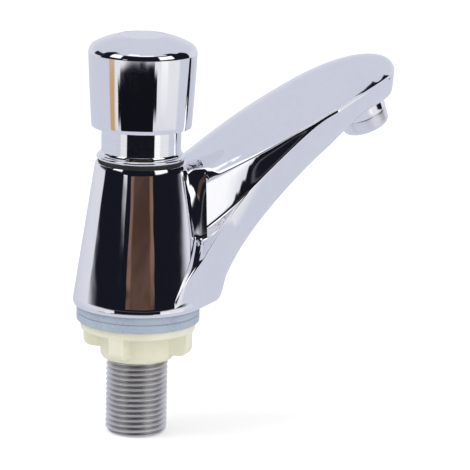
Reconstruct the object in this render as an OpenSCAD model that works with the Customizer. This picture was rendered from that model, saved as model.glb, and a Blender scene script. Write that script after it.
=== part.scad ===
// Push timed tap: a deck tap that opens when its button is pressed and closes by itself.
// One casting carries body and spout, a return spring and piston sit inside it, a winged nut clamps it.
// Z is up along the shank, X along the spout; the origin is on the shank axis at the deck surface.
// All lengths are in millimetres and all angles in degrees.

/* [Deck fixing] */
// Thickness of the gasket between casting and deck
gasket_t = 2.75; // [1.5:0.25:5]
// How far the gasket and the washer under the deck stay inside the foot
gasket_inset = 1.3; // [1.1:0.1:3]
// Thickness of the washer under the deck
washer_t = 2.75; // [1.5:0.25:5]
// Outer radius of the nut flange
nut_flange_r = 19.5; // [17:0.5:24]
// Thickness of the nut flange
nut_flange_t = 3; // [2:0.25:5]
// Outer radius of the nut boss
nut_boss_r = 12.6; // [12.2:0.1:15]
// Height of the whole nut
nut_h = 13.2; // [10:0.2:18]
// Depth of the wings, from the top of the nut
nut_wing_h = 10.8; // [6:0.2:13]
// Thickness of a wing
nut_wing_t = 5.2; // [3:0.2:8]
// Direction of the first wing
nut_angle = 39; // [0:1:89]

/* [Inlet shank] */
// Outer radius of the G 1/2 thread
thread_r = 10.4775; // [10.4775]
// Distance from one thread crest to the next
thread_pitch = 1.814; // [1.814]
// Depth of the thread
thread_depth = 1.162; // [0.9:0.001:1.2]
// Length of the shank below the deck
shank_drop = 42; // [36:0.5:60]
// Radius of the waterway through the shank
shank_bore_r = 7; // [5:0.25:8]
// Depth to which the shank enters the casting
socket_depth = 6; // [5:0.25:6.5]
// Thickness of the strainer plate in the lower end of the shank
strainer_t = 0.8; // [0.5:0.1:1.5]

/* [Body] */
// Height of the casting top above the deck
body_top_z = 51.8; // [50:0.1:56]
// Radius of the body at its top edge
body_top_r = 15.4; // [15:0.1:17]
// Largest radius of the body, near its foot
body_foot_r = 22.2; // [21:0.1:24]
// Height of the rounded edge at the foot
foot_round = 2.4; // [2:0.2:5]
// How far the foot draws in at the deck gasket
foot_draw = 0.7; // [0.5:0.1:2]
// Width of the chamfer at the top edge
top_chamfer = 0.6; // [0.3:0.1:1]

/* [Spout] */
// Distance from the shank axis to the end of the spout
spout_len = 97.3; // [96.8:0.1:106]
// Height of the hood edge at the shank axis
edge_root_z = 38.7; // [37.5:0.1:40.5]
// Height of the hood edge at the end of the spout
edge_tip_z = 78.4; // [77.5:0.1:81]
// Rise of the hood edge at the root
edge_root_rise = 16.2; // [15:0.2:20]
// Rise of the hood edge at the end
edge_tip_rise = 9.8; // [8:0.1:16]
// Half width of the hood at the shank axis
hood_root_w = 5.9; // [5:0.1:7]
// Half width of the hood where it is widest
hood_w = 18.3; // [17:0.1:19]
// Distance of the widest place from the shank axis
hood_x = 56.6; // [52:0.2:58]
// Bluntness of the rounded end, where 2 is an ellipse
end_power = 2.3; // [2.2:0.05:2.6]
// Height of the crown over the hood edge at the root, as a share of the half width
crown_root_ratio = 0.63; // [0.58:0.01:0.68]
// The same share from the widest place to the end
crown_ratio = 0.48; // [0.44:0.01:0.56]
// Rise of the upper edge of the lower band
band_rise = 44.1; // [43:0.1:45]
// Height of that edge at the shank axis
band_root_z = 5.7; // [5:0.1:7]
// How strongly that edge bends down towards the body
band_root_bend = 0.018; // [0.015:0.001:0.02]
// Half width of the lower band where it leaves the body
band_root_w = 22.3; // [22:0.1:22.5]
// Half width of the lower band under the pocket
band_w = 11.1; // [10.8:0.1:12]
// Share by which the lower band draws in from its upper edge to the underside
band_tilt = 0.15; // [0:0.01:0.2]
// Half width between the floors of the two side pockets
floor_w = 9; // [8.4:0.1:9.8]
// Distance from the shank axis to the upright edge where the pocket starts
pocket_x = 19.5; // [19:0.1:21]
// Distance from the shank axis to the place where the pocket runs out under the hood edge
pocket_end = 66.9; // [64:0.1:69]
// Half width between the strips that lead from the body to the pockets
strip_w = 10.9; // [10.5:0.1:11.5]
// Distance from the shank axis to the narrowest place of these strips
strip_x = 17; // [16:0.1:18]
// Radius that hollows these strips
strip_fillet = 6.4; // [6:0.1:8]
// Half width at which the strip runs into the body
strip_root_w = 12.8; // [12:0.1:13]
// Slope of the lower pocket wall, as height over width
wall_slope = 0.55; // [0.4:0.05:0.8]
// Turn of the pocket floor away from the middle plane
floor_toe = 5.5; // [3:0.5:7]
// Reach of the foot nose from the shank axis
nose_reach = 28.8; // [27:0.1:30]
// Radius of the foot nose
nose_r = 13; // [11:0.5:14]
// Height that the curve of the underside would reach at the end of the spout
keel_rise = 76.6; // [74:0.2:79]
// Power of that curve
keel_power = 0.73; // [0.7:0.01:0.76]
// Height of the underside at the end of the spout
keel_tip_z = 69; // [68:0.25:70]
// Rise of the underside near the end
keel_tip_rise = 16; // [12:1:18]

/* [Outlet] */
// Distance of the centre of the mouth behind the end of the spout
mouth_back = 8.3; // [7:0.1:10]
// Height of the centre of the mouth above the deck
mouth_z = 57.5; // [56:0.5:61]
// Outward tilt of the mouth
mouth_tilt = 24; // [18:1:28]
// Outer radius of the aerator ring
aerator_r = 8.5; // [8:0.1:9.5]
// Length of the aerator ring outside the casting
aerator_h = 5.4; // [4:0.2:7]
// Length of the threaded neck of the aerator ring
aerator_neck_h = 4; // [3:0.25:5]

/* [Neck and button] */
// Radius of the neck
neck_r = 13.4; // [13:0.1:14.2]
// Height of the top of the neck
neck_top_z = 77; // [72:0.5:78]
// Radius of the collar on the casting
collar_r = 15; // [14.6:0.1:16]
// Thickness of the rubber ring between the collar and the casting
collar_seal_t = 1.1; // [0.8:0.1:1.5]
// Height of the button skirt edge above the deck
button_z = 63.8; // [63:0.1:68]
// Height of the widest line of the button
button_rim_z = 88.6; // [88:0.1:90]
// Height of the middle of the button top
button_top_z = 94.8; // [94:0.1:97]
// Radius of the button at its skirt edge
button_low_r = 16.85; // [16.4:0.05:18]
// Radius of the button at its widest line
button_rim_r = 18.25; // [17.5:0.05:20]
// Radius of the index disc in the button top
disc_r = 8.1; // [7:0.1:9]
// Travel of the button
button_travel = 7; // [4:0.5:7]

/* [Cartridge] */
// Radius of the push stem
stem_r = 3; // [2.6:0.1:3.4]
// Inside radius of the piston sleeve
sleeve_bore_r = 9.7; // [9.2:0.1:9.9]
// Outside radius of the piston sleeve
sleeve_r = 11; // [10.8:0.1:11.2]
// Height of the valve seat shelf above the deck
seat_z = 22; // [21:0.5:23]
// Thickness of the valve seat
seat_t = 3; // [2.5:0.25:3.5]
// Radius of the valve opening
seat_bore_r = 5; // [4.2:0.1:5.4]
// Thickness of the rubber valve washer
valve_washer_t = 2.5; // [2:0.25:3]
// Radius of the rubber valve washer
valve_washer_r = 6.5; // [6.3:0.1:7]
// Radius of the supply chamber under the seat
supply_r = 9; // [8:0.25:9.2]
// Height of the piston
piston_h = 5; // [4.5:0.25:5.5]
// Radius of the spring wire
spring_wire_r = 0.8; // [0.6:0.05:1]
// Mean radius of the spring
spring_r = 9.2; // [8.6:0.1:9.6]
// Number of spring turns
spring_turns = 7; // [5:1:9]

/* [Fits] */
// Radial gap of a sliding or turning piece
run_gap = 0.05; // [0.02:0.01:0.1]
// Radial gap of a screwed or pressed piece
seat_gap = 0.02; // [0.01:0.01:0.05]
// Gap around a piece that only has to clear
clear_gap = 0.3; // [0.2:0.05:0.5]
// Radial gap between the shank thread and the pieces that slide over it
shank_gap = 0.6; // [0.6:0.05:1]

/* [Hidden] */
$fn = 64;
// Overlap that lets a cutter pass through a face
cut = 1;
base_z = gasket_t;
gasket_r = body_foot_r - gasket_inset;
mouth_x = spout_len - mouth_back;
socket_top_z = base_z + socket_depth;
sleeve_z = seat_z + seat_t;
bonnet_z = 45;
bonnet_thread_r = 12.5;
spring_floor_z = bonnet_z + 4.5;
gallery_r = 12.4;
gallery_z = sleeve_z + 1;
gallery_h = 6;
seat_lip_h = 0.8;
seat_lip_z = seat_z - seat_lip_h;
seat_lip_w = 1.2;
washer_z = seat_lip_z - valve_washer_t;
cup_t = 1.5;
cup_z = washer_z - cup_t;
stem_end_r = stem_r - 0.5;
stem_nut_h = 2.6;
stem_nut_flats = 4 * stem_end_r - 2;
stem_low_z = cup_z - stem_nut_h - 0.6;
piston_r = sleeve_bore_r - clear_gap;
piston_shoulder_h = 2;
piston_shoulder_r = stem_r + 1.5;
clip_t = 0.8;
piston_z = bonnet_z - clip_t - 2 * clear_gap - piston_h;
clip_r = stem_r + 1.8;
lip_h = 2.4;
lip_z = piston_z + (piston_h - lip_h) / 2;
lip_in_r = sleeve_bore_r - 2.1;
lip_r = sleeve_bore_r - run_gap;
ceiling_z = 88.5;
boss_r = 5.5;
boss_z = ceiling_z - 11;
disc_t = 1.2;
disc_z = button_top_z - disc_t;
screw_head_r = 3.6;
screw_head_h = 2.4;
screw_r = 1.5;
screw_seat_z = disc_z - screw_head_h - clear_gap;
screw_len = 11;
stem_top_z = screw_seat_z - 1;
button_bore_r = neck_r + 0.7;
collar_z = body_top_z + collar_seal_t;
collar_seal_r = collar_r - 0.5;
collar_h = 1.4;
step_h = 1.2;
step_r = neck_r + 0.7 - clear_gap;
oring_r = 0.75;
groove_h = 2 * oring_r + 0.3;
nut_z = -washer_t;
shank_clear_r = thread_r + shank_gap;
shank_neck_r = thread_r - 0.4;
strainer_r = shank_bore_r + 0.8;
strainer_z = -shank_drop + 2 - strainer_t;
water_r = 4.5;
water_elbow = [mouth_x - 23, mouth_z + 8];
root_x = 2;
band_bend_x = root_x + 14;
band_fade_x = root_x + 32;
aerator_top = aerator_h + aerator_neck_h;
aerator_gasket_t = 1.4;
aerator_neck_r = aerator_r - 0.9;
aerator_bore_r = aerator_neck_r - 1.2;
aerator_lip_r = aerator_bore_r - 0.6;
aerator_lip_h = 0.8;
insert_h = 5.6;
screen_t = 0.4;

// Node to draw

function lerp(a, b, u) = a + (b - a) * u;

// Cubic through two end values with two end slopes, u from 0 to 1
function cubic(a, b, slope_a, slope_b, u) =
    a * (1 - 3 * pow(u, 2) + 2 * pow(u, 3)) + b * (3 * pow(u, 2) - 2 * pow(u, 3))
    + slope_a * (u - 2 * pow(u, 2) + pow(u, 3)) + slope_b * (pow(u, 3) - pow(u, 2));

// Value that falls from 1 to 0 between two positions, level at both
function fade(x, from, to) = 0.5 + 0.5 * cos(180 * min(1, max(0, (x - from) / (to - from))));

// Height of the hood edge
function edge_z(x) = cubic(edge_root_z, edge_tip_z, spout_len * tan(edge_root_rise),
                           spout_len * tan(edge_tip_rise), x / spout_len);

// Half width of the hood: it swells to its widest place and then closes round the end
function hood_half(x) = x < hood_x ? lerp(hood_root_w, hood_w, sin(90 * x / hood_x))
    : hood_w * pow(1 - pow((x - hood_x) / (spout_len - hood_x), end_power), 1 / end_power);

// Lesser of two values, with a rounded change from one to the other
function soft_min(a, b, k) = (a + b - sqrt(pow(a - b, 2) + pow(k, 2))) / 2;

// Height of the upper edge of the lower band, which bends to run along under the hood edge
edge_gap = 1.2;
band_blend = 3;
function band_line(x) = band_root_z + x * tan(band_rise) - band_root_bend * pow(max(0, band_bend_x - x), 2);
function band_z(x) = soft_min(band_line(x), edge_z(x) - edge_gap, band_blend);

// Half width at the pocket floor: a hollow strip beside the body, a step,
// then a floor that curves out to the hood edge
side_draw = 0.3;
step_run = 0.4;
floor_x = pocket_x + step_run;
floor_bend = (hood_half(pocket_end) - side_draw - floor_w - (pocket_end - floor_x) * tan(floor_toe))
    / pow(pocket_end - floor_x, 2);
function strip_half(x) =
    min(strip_root_w, strip_w + strip_fillet - sqrt(max(0, pow(strip_fillet, 2) - pow(strip_x - x, 2))));
function floor_half(x) = x <= pocket_x ? min(strip_half(x), hood_half(x) - side_draw)
    : x < pocket_end ? floor_w + (x - floor_x) * tan(floor_toe) + floor_bend * pow(x - floor_x, 2)
    : hood_half(x) - min(side_draw, hood_half(x) / 8);
function band_half(x) = max(floor_half(max(x, floor_x)), x > hood_x ? 0
    : lerp(band_w, band_root_w, fade(x, -root_x, band_fade_x)));

// Height of the underside: the foot plane inside the nose,
// then a curve that bends into a slope near the end
keel_blend = 4;
function keel_curve(x) = base_z + keel_rise * pow((x - nose_reach) / (spout_len - nose_reach), keel_power);
function keel_slope(x) = keel_tip_z - (spout_len - x) * tan(keel_tip_rise);
function keel_z(x) = x <= nose_reach ? base_z
    : max(base_z, soft_min(keel_curve(x), keel_slope(x), keel_blend));

// Half width of the flat bottom: an egg of body circle and nose circle under the foot,
// then a narrow strip further out
keel_half = 1.5;
egg_r = body_foot_r - foot_draw - 0.4;
nose_x = nose_reach - nose_r;
egg_angle = asin((egg_r - nose_r) / nose_x);
function egg_half(x) = x > nose_x + nose_r * sin(egg_angle)
    ? max(min(keel_half, hood_half(x) / 2), sqrt(max(0, pow(nose_r, 2) - pow(x - nose_x, 2))))
    : x > egg_r * sin(egg_angle) ? egg_r / cos(egg_angle) - x * tan(egg_angle)
    : sqrt(pow(egg_r, 2) - pow(x, 2));

// Squareness of the lower corners: round at the foot, nearly flat under the end
function corner_power(x) = lerp(2.2, 4, min(1, max(0, (x - nose_reach) / (mouth_x - nose_reach))));
function corner(v, p) = pow(1 - pow(1 - v, p), 1 / p);

// Narrowing of the lower band at its foot, full a short way past the nose
function tilt(x) = band_tilt * min(1, max(0, (x - nose_reach) / nose_r));

// One side of a section at x, from the underside up to the crown, as [y, z] points
bottom_steps = 7;
hood_steps = 8;
// Depth of the hood over its overhang, above the strips and above the pocket floors
strip_roof = 2;
floor_roof = 1 / 3;
function hood_ratio(x) = lerp(crown_root_ratio, crown_ratio, min(1, x / hood_x));
function crown_z(x) = edge_z(x) + hood_ratio(x) * hood_half(x);
function side(x) = let (low = band_z(x), high = edge_z(x), floor = floor_half(x), hood = hood_half(x),
                        angle = 2 * atan(hood_ratio(x)), r = hood / sin(angle),
                        wall = max(edge_gap / 3, wall_slope * (band_half(x) - floor)),
                        depth = x <= pocket_x ? strip_roof : floor_roof,
                        roof = max(edge_gap / 3, (hood - floor) * depth))
    concat(
    [for (i = [0 : bottom_steps]) let (v = pow(i / bottom_steps, 2))
        [lerp(egg_half(x), band_half(x), corner(v, corner_power(x))) * (1 - tilt(x) * (1 - v)),
         lerp(keel_z(x), low, v)]],
    [[floor, low + wall], [floor, high - roof]],
    [for (i = [0 : hood_steps - 1]) let (t = angle * (1 - i / hood_steps))
        [r * sin(t), high + r * (cos(t) - cos(angle))]]);

// Sections from inside the body to the end, closer together round the nose and the end
root_count = 9;
nose_count = 7;
long_count = 20;
end_count = 8;
function stations() = concat(
    [for (i = [0 : root_count]) lerp(root_x, pocket_x, i / root_count)],
    [for (i = [0 : nose_count]) lerp(floor_x, nose_reach, sin(90 * i / nose_count))],
    [for (i = [1 : long_count]) lerp(nose_reach, mouth_x, pow(i / long_count, 1.4))],
    [for (i = [1 : end_count]) lerp(mouth_x, spout_len, sin(85 * i / end_count))]);

// Ring of a section: up the right side, the crown point, down the left side
function ring(x) = let (s = side(x), n = len(s)) concat(
    [for (p = s) [x, -p[0], p[1]]],
    [[x, 0, crown_z(x)]],
    [for (i = [n - 1 : -1 : 0]) [x, s[i][0], s[i][1]]]);

// Solid skinned over rings that all have the same number of points
module skin(rings) {
    count = len(rings);
    size = len(rings[0]);
    polyhedron(
        points = [for (r = rings, p = r) p],
        faces = concat(
            [[for (j = [size - 1 : -1 : 0]) j]],
            [for (i = [0 : count - 2], j = [0 : size - 1]) each
                let (a = i * size + j, b = i * size + (j + 1) % size, c = a + size, d = b + size)
                [[a, b, d], [a, d, c]]],
            [[for (j = [0 : size - 1]) (count - 1) * size + j]]),
        convexity = 6);
}

// Places its children on the axis of the outlet, with the mouth at zero and the casting above
module at_mouth() {
    translate([mouth_x, 0, mouth_z]) rotate([0, -mouth_tilt, 0]) children();
}

// Solid of revolution from [radius, height] points
module turned(points) {
    rotate_extrude() polygon(points);
}

module ring_solid(outer, inner, h) {
    turned([[inner, 0], [outer, 0], [outer, h], [inner, h]]);
}

// Round cord closed to a ring
module cord_ring(mean, wire) {
    rotate_extrude() translate([mean, 0]) circle(r = wire, $fn = 32);
}

// Cone of the body with its rounded foot and chamfered top, without bores
module body_solid() {
    steps = 5;
    turned(concat(
        [[0, base_z]],
        [for (i = [0 : steps]) let (t = 90 * i / steps)
            [body_foot_r - foot_draw + foot_draw * sin(t), base_z + foot_round * (1 - cos(t))]],
        [[body_top_r, body_top_z - top_chamfer], [body_top_r - top_chamfer, body_top_z], [0, body_top_z]]));
}

// Bore of the waterway between two [x, z] points in the middle plane, with a wider round end at the second
module water_bore(from, to) {
    run = to - from;
    translate([from[0], 0, from[1]]) rotate([0, 90 - atan2(run[1], run[0]), 0])
        cylinder(r = water_r, h = norm(run));
    translate([to[0], 0, to[1]]) sphere(r = water_r + clear_gap);
}

module body_casting() {
    boss_r = aerator_r + 0.15;
    chamber_h = aerator_top + aerator_gasket_t;
    outlet = [mouth_x - sin(mouth_tilt) * (chamber_h + 2), mouth_z + cos(mouth_tilt) * (chamber_h + 2)];
    color("Gainsboro") difference() {
        union() {
            body_solid();
            skin([for (x = stations()) ring(x)]);
            at_mouth() translate([0, 0, aerator_h])
                cylinder(r = boss_r, h = aerator_neck_h + aerator_gasket_t);
        }
        translate([0, 0, base_z - cut]) cylinder(r = shank_neck_r + seat_gap, h = socket_depth + cut);
        translate([0, 0, socket_top_z - cut]) cylinder(r = supply_r, h = seat_z - socket_top_z + 2 * cut);
        translate([0, 0, seat_z]) cylinder(r = sleeve_r + seat_gap, h = bonnet_z - seat_z + cut);
        translate([0, 0, gallery_z]) cylinder(r = gallery_r, h = gallery_h);
        translate([0, 0, bonnet_z])
            cylinder(r = bonnet_thread_r + seat_gap, h = body_top_z - bonnet_z + cut);
        water_bore([gallery_r - water_r, gallery_z + gallery_h / 2], water_elbow);
        water_bore(water_elbow, outlet);
        at_mouth() translate([0, 0, chamber_h - cut]) cylinder(r = water_r, h = cut + 2);
        at_mouth() translate([0, 0, aerator_h - cut])
            cylinder(r = aerator_neck_r + seat_gap, h = aerator_neck_h + aerator_gasket_t + cut);
        at_mouth() translate([0, 0, -aerator_r])
            cylinder(r = aerator_r + clear_gap, h = aerator_h + aerator_r);
    }
}

// Ring that seals the collar against the top of the casting
module collar_seal() {
    color("DimGray") translate([0, 0, body_top_z])
        ring_solid(collar_seal_r, bonnet_thread_r + seat_gap, collar_seal_t);
}

// Neck, collar and threaded plug in one turned piece
module bonnet() {
    step_z = collar_z + collar_h;
    color("LightSteelBlue") difference() {
        turned([[0, bonnet_z], [bonnet_thread_r, bonnet_z], [bonnet_thread_r, collar_z],
                [collar_r - 0.3, collar_z], [collar_r, collar_z + 0.3], [collar_r, step_z - 0.4],
                [collar_r - 0.4, step_z], [step_r, step_z], [step_r, step_z + step_h],
                [neck_r, step_z + step_h], [neck_r, neck_top_z - 0.5], [neck_r - 0.5, neck_top_z],
                [0, neck_top_z]]);
        translate([0, 0, spring_floor_z])
            cylinder(r = spring_r + spring_wire_r + clear_gap + 0.7, h = neck_top_z - spring_floor_z + cut);
        translate([0, 0, bonnet_z - cut])
            cylinder(r = stem_r + run_gap, h = spring_floor_z - bonnet_z + 2 * cut);
        translate([0, 0, bonnet_z + 1.2]) cylinder(r = stem_r + run_gap + 2 * oring_r, h = groove_h);
        translate([0, 0, bonnet_z + 1.2]) difference() {
            cylinder(r = bonnet_thread_r + cut, h = groove_h);
            translate([0, 0, -cut])
                cylinder(r = bonnet_thread_r + seat_gap - 2 * oring_r, h = groove_h + 2 * cut);
        }
    }
}

module bonnet_oring() {
    color("DimGray") translate([0, 0, bonnet_z + 1.2 + groove_h / 2])
        cord_ring(bonnet_thread_r + seat_gap - oring_r, oring_r);
}

module stem_oring() {
    color("DimGray") translate([0, 0, bonnet_z + 1.2 + groove_h / 2])
        cord_ring(stem_r + run_gap + oring_r, oring_r);
}

// Outer wall flares upward, the rim is rounded and the top is a shallow dome round the disc
module push_button() {
    rim = 2.9;
    steps = 4;
    dome_r = button_rim_r - rim;
    dome_z = button_rim_z + rim * 1.2;
    color("Gainsboro") difference() {
        turned(concat(
            [[0, button_z + 0.5], [button_low_r - 0.5, button_z], [button_low_r, button_z + 0.5]],
            [for (i = [0 : steps]) let (t = 80 * i / steps)
                [dome_r + rim * cos(t), button_rim_z + (dome_z - button_rim_z) * sin(t)]],
            [[lerp(dome_r, disc_r, 0.5), lerp(dome_z, button_top_z, 0.75)], [disc_r, button_top_z],
             [0, button_top_z]]));
        difference() {
            translate([0, 0, button_z - cut]) cylinder(r = button_bore_r, h = ceiling_z - button_z + cut);
            translate([0, 0, boss_z]) cylinder(r = boss_r, h = ceiling_z - boss_z + cut);
        }
        translate([0, 0, boss_z - cut]) cylinder(r = stem_r + seat_gap, h = stem_top_z - boss_z + cut);
        translate([0, 0, stem_top_z - cut])
            cylinder(r = screw_r + clear_gap, h = screw_seat_z - stem_top_z + 2 * cut);
        translate([0, 0, screw_seat_z])
            cylinder(r = screw_head_r + clear_gap, h = button_top_z - screw_seat_z);
        translate([0, 0, disc_z]) cylinder(r = disc_r - 0.1, h = disc_t + cut);
    }
}

module index_disc() {
    r = disc_r - 0.1 - seat_gap;
    color("WhiteSmoke") translate([0, 0, disc_z])
        turned([[0, 0], [r, 0], [r, disc_t - 0.2], [r - 0.3, disc_t], [0, disc_t]]);
}

module cap_screw() {
    color("DarkGray") difference() {
        turned([[0, screw_seat_z - screw_len], [screw_r - 0.3, screw_seat_z - screw_len],
                [screw_r, screw_seat_z - screw_len + 0.5], [screw_r, screw_seat_z],
                [screw_head_r, screw_seat_z], [screw_head_r, screw_seat_z + screw_head_h - 0.6],
                [screw_head_r - 0.6, screw_seat_z + screw_head_h], [0, screw_seat_z + screw_head_h]]);
        for (a = [0, 90]) rotate([0, 0, a])
            translate([-2.2, -0.5, screw_seat_z + screw_head_h - 1.4]) cube([4.4, 1, 1.4 + cut]);
    }
}

module push_stem() {
    clip_z = piston_z + piston_h;
    color("Goldenrod") difference() {
        turned([[0, stem_low_z], [stem_end_r, stem_low_z], [stem_end_r, seat_lip_z], [stem_r, seat_lip_z],
                [stem_r, piston_z - piston_shoulder_h], [piston_shoulder_r, piston_z - piston_shoulder_h],
                [piston_shoulder_r, piston_z], [stem_r, piston_z], [stem_r, clip_z], [stem_r - 0.6, clip_z],
                [stem_r - 0.6, clip_z + clip_t], [stem_r, clip_z + clip_t], [stem_r, stem_top_z],
                [0, stem_top_z]]);
        translate([0, 0, screw_seat_z - screw_len - 1]) cylinder(r = screw_r + seat_gap, h = screw_len + cut);
    }
}

// Wire coiled from the bonnet floor to the button ceiling, swept as one tube
module return_spring() {
    sides = 6;
    per_turn = 12;
    low = spring_floor_z + spring_wire_r;
    high = ceiling_z - spring_wire_r;
    steps = spring_turns * per_turn;
    color("LightGray") skin([for (i = [0 : steps])
        let (a = 360 * i / per_turn, z = lerp(low, high, i / steps))
        [for (j = [0 : sides - 1]) let (b = -90 - 360 * j / sides, r = spring_r + spring_wire_r * cos(b))
            [r * cos(a), r * sin(a), z + spring_wire_r * sin(b)]]]);
}

module piston() {
    bleed_r = 0.5;
    color("Khaki") translate([0, 0, piston_z]) difference() {
        cylinder(r = piston_r, h = piston_h);
        translate([0, 0, -cut]) cylinder(r = stem_r + seat_gap, h = piston_h + 2 * cut);
        translate([0, 0, (piston_h - lip_h) / 2]) difference() {
            cylinder(r = piston_r + cut, h = lip_h);
            translate([0, 0, -cut]) cylinder(r = lip_in_r - seat_gap, h = lip_h + 2 * cut);
        }
        translate([(stem_r + lip_in_r) / 2, 0, -cut]) cylinder(r = bleed_r, h = piston_h + 2 * cut);
    }
}

module piston_clip() {
    color("Silver") translate([0, 0, piston_z + piston_h]) difference() {
        cylinder(r = clip_r, h = clip_t);
        translate([0, 0, -cut]) cylinder(r = stem_r - 0.6 + seat_gap, h = clip_t + 2 * cut);
        translate([0, -0.9 * stem_r, -cut]) cube([clip_r + cut, 1.8 * stem_r, clip_t + 2 * cut]);
    }
}

// Ring with a groove in its pressure side, so that its two lips spread
module lip_seal() {
    mid = (lip_in_r + lip_r) / 2;
    color("DimGray") translate([0, 0, lip_z])
        turned([[lip_in_r, 0], [lip_r, 0], [lip_r, lip_h], [lip_r - 0.5, lip_h], [mid, lip_h / 2],
                [lip_in_r + 0.5, lip_h], [lip_in_r, lip_h]]);
}

module cartridge_sleeve() {
    port_w = 6;
    port_h = gallery_h - 2;
    color("Goldenrod") difference() {
        translate([0, 0, sleeve_z]) ring_solid(sleeve_r, sleeve_bore_r, bonnet_z - sleeve_z);
        for (a = [0 : 90 : 270]) rotate([0, 0, a])
            translate([0, -port_w / 2, gallery_z + 1]) cube([sleeve_r + cut, port_w, port_h]);
    }
}

module valve_seat() {
    mid = seat_t / 2;
    groove_r = sleeve_r + seat_gap - 2 * oring_r;
    color("Goldenrod") translate([0, 0, seat_z])
        turned([[seat_bore_r, -seat_lip_h], [seat_bore_r + seat_lip_w, -seat_lip_h], [seat_bore_r + 2, 0],
                [sleeve_r, 0], [sleeve_r, mid - groove_h / 2], [groove_r, mid - groove_h / 2],
                [groove_r, mid + groove_h / 2], [sleeve_r, mid + groove_h / 2],
                [sleeve_r, seat_t], [seat_bore_r, seat_t]]);
}

module seat_oring() {
    color("DimGray") translate([0, 0, seat_z + seat_t / 2]) cord_ring(sleeve_r + seat_gap - oring_r, oring_r);
}

module valve_washer() {
    color("DimGray") translate([0, 0, washer_z])
        ring_solid(valve_washer_r, stem_end_r + seat_gap, valve_washer_t);
}

// Cup that backs the rubber washer, with a low wall round it
module washer_cup() {
    wall = 1;
    color("Goldenrod") translate([0, 0, cup_z])
        turned([[stem_end_r + seat_gap, 0], [valve_washer_r + seat_gap + wall, 0],
                [valve_washer_r + seat_gap + wall, cup_t + 1.5], [valve_washer_r + seat_gap, cup_t + 1.5],
                [valve_washer_r + seat_gap, cup_t], [stem_end_r + seat_gap, cup_t]]);
}

module stem_nut() {
    color("Silver") translate([0, 0, cup_z - stem_nut_h]) difference() {
        cylinder(r = stem_nut_flats / 2 / cos(30), h = stem_nut_h, $fn = 6);
        translate([0, 0, -cut]) cylinder(r = stem_end_r + seat_gap, h = stem_nut_h + 2 * cut);
    }
}

// Tube whose thread is cut as one groove for each turn below the deck, with a plain neck in the casting
module inlet_shank() {
    lead = 1.2;
    flat = thread_pitch / 6;
    root_r = thread_r - thread_depth;
    turns = floor((shank_drop - lead) / thread_pitch) - 1;
    low = -shank_drop + lead;
    thread_top = low + turns * thread_pitch + 2 * flat;
    strainer_top = strainer_z + strainer_t;
    color("DarkGray") turned(concat(
        [[strainer_r, -shank_drop], [thread_r - lead, -shank_drop], [thread_r, low]],
        [for (i = [0 : turns - 1]) let (z = low + i * thread_pitch) each
            [[thread_r, z + 2 * flat], [root_r, z + thread_pitch / 2 + flat / 2],
             [root_r, z + thread_pitch / 2 + flat * 3 / 2], [thread_r, z + thread_pitch]]],
        [[thread_r, thread_top], [shank_neck_r, thread_top + flat], [shank_neck_r, socket_top_z],
         [shank_bore_r, socket_top_z], [shank_bore_r, strainer_top], [strainer_r, strainer_top]]));
}

// Plate with two rings of holes round a middle one
module inlet_strainer() {
    hole_r = 0.8;
    rows = [2.4, 4.8];
    color("Silver") translate([0, 0, strainer_z]) difference() {
        cylinder(r = strainer_r - seat_gap, h = strainer_t);
        translate([0, 0, -cut]) cylinder(r = hole_r, h = strainer_t + 2 * cut);
        for (row = [0, 1], a = [0 : 60 / (row + 1) : 359]) rotate([0, 0, a])
            translate([rows[row], 0, -cut]) cylinder(r = hole_r, h = strainer_t + 2 * cut);
    }
}

module deck_gasket() {
    color("LightSlateGray", 0.8) ring_solid(gasket_r, shank_clear_r, gasket_t);
}

module clamp_washer() {
    color("LightSlateGray", 0.8) translate([0, 0, -washer_t]) ring_solid(gasket_r, shank_clear_r, washer_t);
}

// Flange, round boss and four wings with rounded lower corners
module wing_nut() {
    corner_r = 3;
    color("Cornsilk") translate([0, 0, nut_z]) rotate([0, 0, nut_angle]) difference() {
        union() {
            translate([0, 0, -nut_flange_t]) cylinder(r = nut_flange_r, h = nut_flange_t);
            translate([0, 0, -nut_h]) cylinder(r = nut_boss_r, h = nut_h);
            intersection() {
                for (a = [0, 90]) rotate([90, 0, a]) translate([0, 0, -nut_wing_t / 2])
                    linear_extrude(nut_wing_t) wing_outline(corner_r);
                translate([0, 0, -nut_h]) cylinder(r = nut_flange_r, h = nut_h);
            }
        }
        translate([0, 0, -nut_h - cut]) cylinder(r = shank_clear_r, h = nut_h + 2 * cut);
    }
}

// Outline of two opposite wings
module wing_outline(corner_r) {
    reach = nut_flange_r + cut;
    round_x = nut_flange_r - corner_r;
    translate([-reach, -nut_wing_h + corner_r]) square([2 * reach, nut_wing_h - corner_r]);
    translate([-round_x, -nut_wing_h]) square([2 * round_x, corner_r + cut]);
    for (s = [-1, 1]) translate([s * round_x, -nut_wing_h + corner_r]) circle(r = corner_r);
}

module aerator_ring() {
    edge = 1;
    color("Gainsboro") at_mouth()
        turned([[aerator_lip_r, 0], [aerator_r - edge - 0.3, 0], [aerator_r - 0.5, edge * 0.4],
                [aerator_r - 0.3, edge * 1.2], [aerator_r, aerator_h], [aerator_neck_r, aerator_h],
                [aerator_neck_r, aerator_top], [aerator_bore_r, aerator_top], [aerator_bore_r, aerator_lip_h],
                [aerator_lip_r, aerator_lip_h]]);
}

// Plastic body with two rings of jets round a middle one
module aerator_insert() {
    jet_r = 0.8;
    rows = [2.4, 4.7];
    color("WhiteSmoke") at_mouth() translate([0, 0, aerator_lip_h]) difference() {
        cylinder(r = aerator_bore_r - run_gap, h = insert_h);
        translate([0, 0, -cut]) cylinder(r = jet_r, h = insert_h + 2 * cut);
        for (row = [0, 1], a = [0 : 60 / (row + 1) : 359]) rotate([0, 0, a])
            translate([rows[row], 0, -cut]) cylinder(r = jet_r, h = insert_h + 2 * cut);
    }
}

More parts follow.
